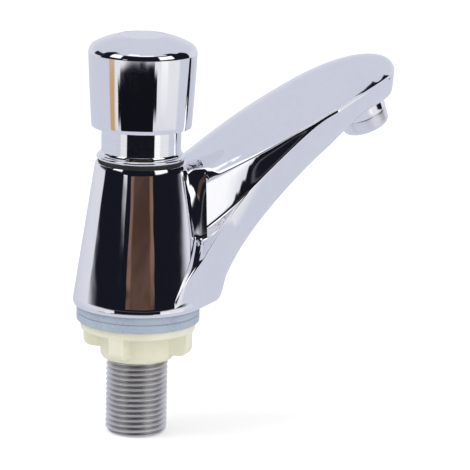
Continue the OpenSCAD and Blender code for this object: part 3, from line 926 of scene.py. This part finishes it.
    def stations(self) -> list[float]:
        """Returns the places of the sections, closer together round the nose and the end."""
        start, quarter, cap = self.pocket_x + self.step_run, math.pi / 2, math.radians(89.3)
        return ([lerp(self.root_x, self.pocket_x, u) for u in shares(26)]
                + [lerp(start, self.nose_reach, math.sin(quarter * u)) for u in shares(20)]
                + [lerp(self.nose_reach, self.mouth_x, u**1.3) for u in shares(70, 1)]
                + [lerp(self.mouth_x, self.length, math.sin(cap * u)) for u in shares(34, 1)])

    def build(self) -> Thing:
        """Draws the sections on a grid and closes it to a skin.

        Returns:
            The closed spout, still without its bores.
        """
        places = self.stations()
        rings = []
        for x in places:
            half = self.side(x)
            right = [(x, -p.x, p.y) for p in half]
            rings.append(right + [(x, p.x, p.y) for p in reversed(half[:-1])])
        clear()
        bpy.ops.mesh.primitive_grid_add(x_subdivisions=len(rings[0]) - 1,
                                        y_subdivisions=len(rings) - 1, size=0.1)
        obj = named("spout_skin")
        flat = [c * MM for ring in rings for point in ring for c in point]
        obj.data.vertices.foreach_set("co", flat)
        obj.data.update()
        edit(obj)
        for end in (places[0] * MM, places[-1] * MM):
            select_edges(obj, lambda edge, end=end: edge.is_boundary and all(
                abs(v.co.x - end) < 1e-6 for v in edge.verts))
            bpy.ops.mesh.edge_face_add()
        tidy_mesh()
        return obj


@dataclass
class Outlet:
    """Outlet boss and aerator on a tilted axis under the end of the spout."""

    mouth_x: float = 89.0
    mouth_z: float = 57.5
    tilt: float = 24.0
    ring_r: float = 8.5
    ring_h: float = 5.4
    ring_gap: float = 0.3
    neck_r: float = 7.6
    neck_h: float = 4.0
    neck_gap: float = 0.02
    bore_r: float = 6.4
    lip_r: float = 5.8
    lip_h: float = 0.8
    boss_r: float = 8.65
    boss_h: float = 10.8
    cut_low: float = -12.0

    def at_mouth(self) -> Matrix:
        """Returns the matrix of the outlet axis, with the mouth at its zero."""
        move = Matrix.Translation((self.mouth_x * MM, 0, self.mouth_z * MM))
        return move @ Matrix.Rotation(-math.radians(self.tilt), 4, "Y")

    def turned(self, name: str, points: list[Point], steps: int, longest: float = 0.0) -> Thing:
        """Returns a piece turned on the outlet axis, with its heights over the mouth."""
        piece = turn(name, points, steps, longest)
        place(piece, self.at_mouth())
        return piece

    def chamber(self) -> Thing:
        """Returns the tool that cuts the seat of the aerator out of the spout."""
        steps = stairs(self.ring_r + self.ring_gap, self.cut_low, self.ring_h,
                       self.neck_r + self.neck_gap, self.boss_h, 0)
        return self.turned("chamber_tool", [(0, self.cut_low), *steps], 96)

    def boss(self) -> Thing:
        """Returns the tube of the casting that takes the aerator."""
        corners = square(self.neck_r + self.neck_gap, self.boss_r, self.ring_h, self.boss_h)
        return self.turned("outlet_boss", soften(corners, 0.25), 96, 1.5)

    def build(self) -> None:
        """Makes the chromed ring of the aerator."""
        r, top = self.ring_r, self.ring_h + self.neck_h
        corners = [(self.lip_r, 0), (r - 1.1, 0), (r - 0.45, 0.5), (r - 0.25, 1.4),
                   (r, self.ring_h - 0.1),
                   *stairs(self.neck_r, self.ring_h, top, self.bore_r, self.lip_h, self.lip_r)]
        ring = self.turned("aerator_sleeve", soften(corners, 0.3), 112, 1.2)
        dress(ring, SATIN, Body.TAP, Slot.TURNED, "aerator_ring")


@dataclass
class Casting:
    """Cone of the body and the spout in one chromed casting."""

    base_z: float = 2.75
    top_z: float = 51.8
    top_r: float = 15.4
    foot_r: float = 22.2
    foot_round: float = 1.5
    foot_draw: float = 0.7
    chamfer: float = 0.6
    socket_r: float = 10.1
    socket_z: float = 8.75
    supply_r: float = 9.0
    seat_z: float = 22.0
    sleeve_r: float = 11.02
    bonnet_z: float = 45.0
    bonnet_r: float = 12.52
    spout: Spout = field(default_factory=Spout)
    outlet: Outlet = field(default_factory=Outlet)

    def cone(self) -> Thing:
        """Returns the turned body with its foot, top chamfer and stepped bore."""
        foot = arc((self.foot_r - self.foot_draw, self.base_z + self.foot_round),
                   (self.foot_draw, self.foot_round), -90, 0, 14)
        top = [(self.top_r, self.top_z - self.chamfer), (self.top_r - 0.15, self.top_z - 0.2),
               (self.top_r - self.chamfer, self.top_z)]
        bore = stairs(self.bonnet_r, self.top_z, self.bonnet_z, self.sleeve_r, self.seat_z,
                      self.supply_r, self.socket_z, self.socket_r, self.base_z)
        return turn("body_cone", [bore[-1], *foot, *top, *bore], 160, 1.6)

    def build(self) -> None:
        """Joins cone, spout and outlet boss to the casting."""
        skin = self.spout.build()
        clear()
        bpy.ops.mesh.primitive_cylinder_add(vertices=128, radius=(self.bonnet_r + 1) * MM,
                                            depth=0.16, location=(0, 0, 0.03))
        combine(skin, named("bore_tool"), Cut.AWAY)
        combine(skin, self.outlet.chamber(), Cut.AWAY)
        smooth(skin, 50)
        casting = join("tap_casting", self.cone(), skin, self.outlet.boss())
        dress(casting, CHROME, Body.TAP, Slot.CASTING, "body_casting")
        self.outlet.build()


@dataclass
class Neck:
    """Turned neck with collar bead, threaded plug and spring chamber."""

    thread_r: float = 12.5
    low_z: float = 45.0
    collar_z: float = 52.9
    collar_r: float = 15.0
    bead: Point = (0.7, 1.4)
    step_r: float = 13.8
    neck_r: float = 13.4
    top_z: float = 77.0
    chamber_r: float = 11.0
    floor_z: float = 49.5
    stem_r: float = 3.05
    groove_z: Point = (46.2, 48.0)
    groove_depths: Point = (1.48, 1.5)

    def build(self) -> None:
        """Turns the neck in one piece."""
        low, high = self.groove_z
        plug, stem, (wide, tall) = self.thread_r, self.stem_r, self.bead
        foot, base, top, r = self.low_z, self.collar_z + tall, self.top_z, self.neck_r
        outer, inner = plug - self.groove_depths[0], stem + self.groove_depths[1]
        profile = [
            (stem, foot), (plug - 0.3, foot),
            *stairs(plug, foot + 0.3, low, outer, high, plug, self.collar_z),
            *arc((self.collar_r - wide, (self.collar_z + base) / 2),
                 (wide, (base - self.collar_z) / 2), -90, 90, 12),
            *stairs(self.step_r, base, base + 0.95), (self.step_r - 0.12, base + 1.15),
            (r, base + 1.2), (r, top - 0.5), (r - 0.15, top - 0.15), (r - 0.5, top),
            *stairs(self.chamber_r, top, self.floor_z, stem, high, inner, low, stem, foot)]
        neck = turn("neck_collar", profile, 144, 1.5)
        dress(neck, CHROME_TURNED, Body.TAP, Slot.TURNED, "bonnet")


@dataclass
class Button:
    """Flared push button with a rounded rim, a shallow dome and a bare index plate."""

    low_z: float = 63.8
    low_r: float = 16.85
    rim_z: float = 88.6
    rim_r: float = 18.25
    rim_round: Point = (2.9, 3.48)
    barrel: float = 0.08
    top_z: float = 94.8
    disc_r: float = 8.0
    disc_z: float = 93.6
    disc_gap: float = 0.03
    bore_r: float = 14.1
    lip_r: float = 13.55
    ceiling_z: float = 88.5
    boss_r: float = 5.5
    boss_z: float = 77.5
    stem_r: float = 3.02
    stem_top_z: float = 89.9
    screw_head_r: float = 3.9
    screw_r: float = 1.8
    screw_seat_z: float = 90.9
    skirt_h: float = 0.55

    def dome(self) -> list[Point]:
        """Returns the outline from the rim over the dome to the edge of the plate."""
        rim = arc((self.rim_r - self.rim_round[0], self.rim_z), self.rim_round, 6, 66, 16)
        start, end = Vector(rim[-1]), Vector((self.disc_r + 0.25, self.top_z - 0.02))
        control = Vector((lerp(start.x, end.x, 0.42), lerp(start.y, end.y, 0.66)))
        return [*rim, *((p.x, p.y) for p in bow(start, control, end, 14)[1:]),
                (self.disc_r + 0.08, self.top_z - 0.06), (self.disc_r, self.top_z - 0.2)]

    def wall(self) -> list[Point]:
        """Returns the slightly barrelled outer wall between the skirt edge and the rim."""
        low, high = self.low_z + self.skirt_h, self.rim_z + 0.3
        return [(lerp(self.low_r, self.rim_r, u) + 4 * self.barrel * u * (1 - u),
                 lerp(low, high, u)) for u in (*shares(20, 1)[:-1], 0.996, 1.0)]

    def build(self) -> None:
        """Turns the button and its index plate."""
        low, r, lip = self.low_z, self.low_r, self.lip_r
        skirt = [(lip, low + 0.9), (lip, low + 0.2), (lip + 0.2, low), (r - 0.5, low),
                 (r - 0.12, low + 0.15), (r, low + self.skirt_h)]
        inside = stairs(self.screw_head_r, self.disc_z, self.screw_seat_z, self.screw_r,
                        self.stem_top_z, self.stem_r, self.boss_z, self.boss_r, self.ceiling_z,
                        self.bore_r, low + 1.5)
        outside = [*skirt, *self.wall(), *self.dome(), (self.disc_r, self.disc_z)]
        cap = turn("push_cap", [*outside, *inside, skirt[0]], 160, 1.4)
        dress(cap, CHROME_CAP, Body.PLUNGER, Slot.TURNED, "push_button")
        r, top = self.disc_r - self.disc_gap, self.top_z
        plate = [(0, self.disc_z), *stairs(r, self.disc_z, top - 0.25), (r - 0.08, top - 0.1),
                 (r - 0.3, top), (r - 0.9, top - 0.02), (0, top - 0.04)]
        disc = turn("index_plate", plate, 128, 0.9)
        dress(disc, PLATE, Body.PLUNGER, Slot.DISC, "index_disc")


@dataclass
class ReturnSpring:
    """Coiled return spring between the neck floor and the button ceiling."""

    mean_r: float = 9.2
    wire_r: float = 0.8
    low_z: float = 49.5
    high_z: float = 88.5
    turns: int = 7
    travel: float = 7.0

    def build(self) -> None:
        """Screws a ring of wire round the axis and closes its two ends."""
        rise = self.high_z - self.low_z - 2 * self.wire_r
        clear()
        bpy.ops.mesh.primitive_circle_add(
            vertices=16, radius=self.wire_r * MM, rotation=(math.pi / 2, 0, 0),
            location=(self.mean_r * MM, 0, (self.low_z + self.wire_r) * MM))
        bpy.ops.object.transform_apply()
        coil = named("return_coil")
        screw(coil, rise / self.turns, self.turns, 48)
        bpy.ops.mesh.select_all(action="DESELECT")
        bpy.ops.mesh.select_non_manifold(extend=False, use_wire=False, use_multi_face=False,
                                         use_non_contiguous=False, use_verts=False)
        bpy.ops.mesh.fill_holes(sides=0)
        tidy_mesh()
        smooth(coil, 50)
        dress(coil, STEEL, Body.TAP, Slot.STEEL, "return_spring")
        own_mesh(coil)


@dataclass
class Shank:
    """Inlet shank with a cut helical thread, a chamfered end and a plain neck in the casting."""

    crest_r: float = 10.4775
    crest_gap: float = 0.02
    depth: float = 1.162
    pitch: float = 1.814
    tooth_shares: tuple[Point, ...] = (
        (0, 0), (0.06, 0), (0.12, 0.06), (0.38, 0.93), (0.45, 1),
        (0.55, 1), (0.62, 0.93), (0.88, 0.06), (0.94, 0), (1, 0))
    low_z: float = -42.0
    thread_top_z: float = -2.1
    lead: float = 1.2
    bore_r: float = 7.0
    seat_r: float = 7.8
    seat_z: float = -40.0
    neck_r: float = 10.0775
    top_z: float = 8.75

    def tooth(self) -> list[Point]:
        """Returns the outline of one tooth, from root to root."""
        root, start = self.crest_r - self.depth, self.low_z - 2 * self.pitch
        return [(root + self.depth * f, start + self.pitch * u) for u, f in self.tooth_shares]

    def rod(self) -> Thing:
        """Returns a threaded rod, closed flat at both ends."""
        turns = math.ceil((self.thread_top_z - self.low_z) / self.pitch) + 4
        wire(self.tooth())
        bpy.ops.object.mode_set(mode="OBJECT")
        rod = named("thread_rod")
        screw(rod, self.pitch, turns, 72)
        for z, side in ((self.low_z - 0.2, "clear_inner"), (self.thread_top_z, "clear_outer")):
            bpy.ops.mesh.select_all(action="SELECT")
            bpy.ops.mesh.bisect(plane_co=(0, 0, z * MM), plane_no=(0, 0, 1), use_fill=True,
                                **{side: True})
        tidy_mesh()
        return rod

    def build(self) -> None:
        """Trims the rod to the shank's outline and adds the neck."""
        low, seat = self.low_z, self.seat_r
        outline = [(seat, low), (self.crest_r - self.lead, low),
                   *stairs(self.crest_r + self.crest_gap, low + self.lead, self.thread_top_z + 1,
                           self.bore_r, self.seat_z, seat, low)]
        shank = self.rod()
        combine(shank, turn("shank_outline", outline, 96), Cut.SHARED)
        smooth(shank, 40)
        corners = square(self.bore_r, self.neck_r, self.thread_top_z - 0.4, self.top_z)
        neck = turn("shank_neck", soften(corners, 0.3), 96, 2)
        shank = join("shank_thread", shank, neck)
        dress(shank, NICKEL, Body.TAP, Slot.SHANK, "inlet_shank")


@dataclass
class DeckFixing:
    """Clear washers on both faces of the deck and the winged nut below."""

    washer_r: float = 20.9
    bore_r: float = 11.08
    washer_t: float = 2.75
    flange_r: float = 19.5
    flange_t: float = 3.0
    boss_r: float = 12.6
    nut_h: float = 13.2
    wing_h: float = 10.8
    wing_t: float = 5.2
    wing_angle: float = 39.0
    wing_round: float = 3.0
    grain: float = 0.32

    def ring(self, name: str, low: float) -> Thing:
        """Returns one clear washer whose lower face is at the given height."""
        corners = square(self.bore_r, self.washer_r, low, low + self.washer_t)
        return turn(name, soften(corners, 0.55, 5), 144, 1.5)

    def wing(self) -> Thing:
        """Returns one wing with its rounded lower corner, on the X axis."""
        reach, root = self.flange_r - 0.3, self.bore_r + 0.6
        top, low = -self.washer_t - 0.4, -self.washer_t - self.wing_h
        clear()
        bpy.ops.mesh.primitive_cube_add(
            size=1, location=((reach + root) / 2 * MM, 0, (top + low) / 2 * MM),
            scale=((reach - root) * MM, self.wing_t * MM, (top - low) * MM))
        bpy.ops.object.transform_apply()
        wing = named("nut_wing")
        bpy.ops.object.mode_set(mode="EDIT")
        bpy.ops.mesh.select_mode(type="EDGE")
        select_edges(wing, lambda edge: all(
            v.co.x > (reach - 0.1) * MM and v.co.z < (low + 0.1) * MM for v in edge.verts))
        bpy.ops.mesh.bevel(offset=self.wing_round * MM, segments=8, affect="EDGES")
        bpy.ops.mesh.select_mode(type="VERT")
        tidy_mesh()
        return wing

    def nut(self) -> Thing:
        """Returns the nut, moulded in one piece from flange, boss and four wings."""
        top, low = -self.washer_t, -self.washer_t - self.nut_h
        corners = [(self.bore_r, low), (self.boss_r - 0.9, low),
                   *stairs(self.boss_r, low + 1.3, top - self.flange_t, self.flange_r, top,
                           self.bore_r)]
        nut = turn("winged_nut", soften(corners, 0.4), 96)
        wings = [self.wing()]
        for _ in range(3):
            pick(wings[0])
            bpy.ops.object.duplicate()
            wings.append(bpy.context.active_object)
        for k, one in enumerate(wings):
            place(one, Matrix.Rotation(math.radians(self.wing_angle + 90 * k), 4, "Z"))
        nut = join("winged_nut", nut, *wings)
        apply(nut, "REMESH", mode="VOXEL", voxel_size=self.grain * MM)
        apply(nut, "SMOOTH", factor=0.5, iterations=4)
        pick(nut)
        bpy.ops.object.shade_smooth()
        return nut

    def build(self) -> None:
        """Makes the two washers and the nut."""
        upper = self.ring("deck_washer_upper", 0)
        dress(upper, CLEAR, Body.TAP, Slot.CLEAR, "deck_gasket")
        lower = self.ring("deck_washer_lower", -self.washer_t)
        dress(lower, CLEAR, Body.WASHER, Slot.CLEAR, "clamp_washer")
        dress(self.nut(), NYLON, Body.NUT, Slot.NUT, "wing_nut")


@dataclass
class InnerPieces:
    """Pieces inside the tap that keep their solids and get a finish."""

    finishes: tuple[tuple[Finish, tuple[str, ...]], ...] = (
        # painted shade: the black collar_seal fills the groove under the collar bead so that the
        # groove shows dark, as shade and dark reflection there would
        (RUBBER, ("collar_seal", "bonnet_oring", "stem_oring", "seat_oring", "lip_seal",
                  "valve_washer", "aerator_gasket")),
        (STEEL, ("cap_screw", "piston_clip", "stem_nut", "inlet_strainer", "aerator_screen")),
        (BRASS, ("push_stem", "cartridge_sleeve", "valve_seat", "washer_cup")),
        (ACETAL, ("piston",)),
        (INSERT, ("aerator_insert",)))

    def build(self) -> None:
        """Gives each inner piece its finish."""
        for finish, names in self.finishes:
            for name in names:
                coat(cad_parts[name], finish)
                LOG.info("solid %s keeps its shape", name)


@dataclass(frozen=True)
class Panel:
    """Patch of the studio, in degrees to the right of the camera's side and above the horizon."""

    left: float
    right: float
    low: float
    high: float
    colour: Colour
    soft: float = 2.0


WHITE: Colour = (1, 1, 1, 1)
LAMP: Colour = (1.3, 1.3, 1.35, 1)
DARK: Colour = (0.010, 0.011, 0.018, 1)
INK: Colour = (0.006, 0.006, 0.010, 1)


@dataclass
class Studio:
    """Plain floor, soft light and the camera."""

    azimuth: float = -30.0
    elevation: float = 13.029
    roll: float = 1.485
    distance: float = 1100.0
    lens: float = 246.37
    target: tuple[float, float, float] = (30.0, 0.0, 27.0)
    shift: Point = (6.154, -3.371)
    floor_z: float = -42.2
    floor_lift: float = 0.34
    matt_light: float = 0.72
    far_colour: Colour = (0.63, 0.65, 0.75, 1)
    side_colour: Colour = (0.72, 0.735, 0.81, 1)
    panels: tuple[Panel, ...] = (
        Panel(-60, 88, -19, -4, (0.82, 0.83, 0.87, 1), 4),
        Panel(42, 58, -15.5, -8, (1.05, 1.05, 1.08, 1), 3),
        Panel(-97, 117, -3, 43, (0.008, 0.009, 0.016, 1), 1.5),
        Panel(-122, -90, 3, 24, (0.02, 0.02, 0.03, 1), 2.5),
        Panel(-100, -73, 38, 57, DARK),
        Panel(66, 98, 38, 57, DARK),
        Panel(-20, 31, 1.9, 5.5, (0.22, 0.135, 0.10, 1), 0.5),
        Panel(-13, 24, 1.9, 5.5, (0.045, 0.024, 0.018, 1), 2.5),
        Panel(-40, -31, 3.4, 7, (0.8, 0.8, 0.85, 1), 1.2),
        Panel(-72, -46, 13, 40, LAMP),
        Panel(-41, -10, 47, 63, LAMP),
        Panel(-10, 32, 45, 53, LAMP),
        Panel(38, 72, 9, 35, LAMP),
        Panel(-53, 34, -18.0, -15.6, INK, 0.4),
        Panel(-47, 28, -24, -15.0, INK, 0.3),
        Panel(-40, 40.5, -13.8, -2.5, (0.007, 0.008, 0.013, 1), 0.5),
        Panel(-74, -61, -24, -13.2, (0.60, 0.37, 0.18, 1), 2.5),
        Panel(131, 139, -15.6, -13.2, (0.06, 0.06, 0.08, 1), 0.5),
    )

    def axes(self) -> tuple[Vector, Vector, Vector]:
        """Returns the right, up and back directions of the level camera."""
        a, e = math.radians(self.azimuth), math.radians(self.elevation)
        back = Vector((math.sin(a) * math.cos(e), -math.cos(a) * math.cos(e), math.sin(e)))
        right = Vector((math.cos(a), math.sin(a), 0))
        return right, back.cross(right), back

    def camera(self) -> None:
        """Sets the camera at the angle from which the tap is seen."""
        right, up, back = self.axes()
        r = math.radians(self.roll)
        across = right * math.cos(r) + up * math.sin(r)
        along = up * math.cos(r) - right * math.sin(r)
        shift = across * self.shift[0] + along * self.shift[1]
        spot = (Vector(self.target) + back * self.distance + shift) * MM
        data = bpy.data.cameras.new("camera")
        data.lens, data.sensor_width, data.clip_start = self.lens, 36.0, 0.05
        obj = bpy.data.objects.new("camera", data)
        bpy.context.scene.collection.objects.link(obj)
        attitude = Matrix((across, along, back)).transposed().to_4x4()
        obj.matrix_world = Matrix.Translation(spot) @ attitude
        bpy.context.scene.camera = obj

    def floor(self) -> None:
        """Adds the pale floor, which is white to the camera and keeps the shadow."""
        clear()
        bpy.ops.mesh.primitive_plane_add(size=6.0, location=(0, 0, self.floor_z * MM))
        plane = named("studio_floor")
        material = bpy.data.materials.new("pale_floor")
        n = Nodes.of(material)
        pattern = n.add("Group", {"Grain": 900.0, "Drift": 6.0}, node_tree=grain())
        tone = n.blend(pattern.outputs["Mask"], (0.84, 0.84, 0.84, 1), (0.82, 0.82, 0.82, 1))
        matt = n.add("BsdfDiffuse", {"Color": tone})
        seen = n.math("MULTIPLY", n.add("LightPath").outputs["Is Camera Ray"], self.floor_lift)
        lift = n.add("Emission", {"Color": WHITE, "Strength": seen})
        both = n.add("AddShader", {0: matt.outputs[0], 1: lift.outputs[0]})
        below = n.add("NewGeometry").outputs["Backfacing"]
        mixed = n.mix(below, both.outputs[0], n.add("BsdfTransparent").outputs[0])
        n.add("OutputMaterial", {"Surface": mixed})
        plane.data.materials.append(material)
        plane.visible_glossy = False

    def world(self) -> None:
        """Builds the surround: white to the camera, even to matt pieces, panelled to chrome."""
        world = bpy.data.worlds.new("studio")
        bpy.context.scene.world = world
        n = Nodes.of(world)
        right, _, back = self.axes()
        front = Vector((back.x, back.y, 0)).normalized()
        way = n.add("TexCoord").outputs["Generated"]
        bearing = n.math("ARCTAN2", n.dot(way, right), n.dot(way, front))
        height = n.math("ARCSINE", n.add("SeparateXYZ", {0: way}).outputs[2])
        colour: Colour | Socket = self.side_colour
        for near, far in ((4, 30), (-4, -12)):
            share = n.ramp(height, math.radians(near), math.radians(far))
            colour = n.blend(share, colour, self.far_colour)
        for p in self.panels:
            across = n.within(bearing, p.left, p.right, p.soft)
            tall = n.within(height, p.low, p.high, p.soft)
            colour = n.blend(n.math("MULTIPLY", across, tall), colour, p.colour)
        shown, even, white = (
            n.add("Background", {"Color": tone, "Strength": strength}).outputs[0]
            for tone, strength in ((colour, 1.0), (WHITE, self.matt_light), (WHITE, 1.0)))
        path = n.add("LightPath").outputs
        matt = n.mix(path["Is Diffuse Ray"], shown, even)
        n.add("OutputWorld", {"Surface": n.mix(path["Is Camera Ray"], matt, white)})

    def lamps(self) -> None:
        """Adds soft lamps that shape the matt pieces."""
        right, up, back = self.axes()
        centre = Vector(self.target) * MM
        for name, way, size, power in (
                ("key_lamp", back * 0.5 - right * 0.7 + up * 0.9, 0.7, 5.0),
                ("fill_lamp", back * 0.8 + right * 0.8 + up * 0.3, 0.9, 3.0)):
            data = bpy.data.lights.new(name, "AREA")
            data.size, data.energy = size, power
            lamp = bpy.data.objects.new(name, data)
            bpy.context.scene.collection.objects.link(lamp)
            lamp.location = centre + way
            lamp.rotation_euler = (-way).to_track_quat("-Z", "Y").to_euler()
            lamp.visible_glossy = False

    def build(self) -> None:
        """Sets up the whole studio."""
        bpy.context.scene.view_settings.view_transform = "Standard"
        self.camera()
        self.floor()
        self.world()
        self.lamps()


def main() -> None:
    """Builds the sub-assemblies in order."""
    logging.basicConfig(level=logging.INFO, format="%(name)s: %(message)s")
    for assembly in (Casting(), Neck(), Button(), ReturnSpring(), Shank(), DeckFixing(),
                     InnerPieces(), Studio()):
        LOG.info("building %s", type(assembly).__name__)
        assembly.build()
    clear()


if __name__ == "__main__":
    main()
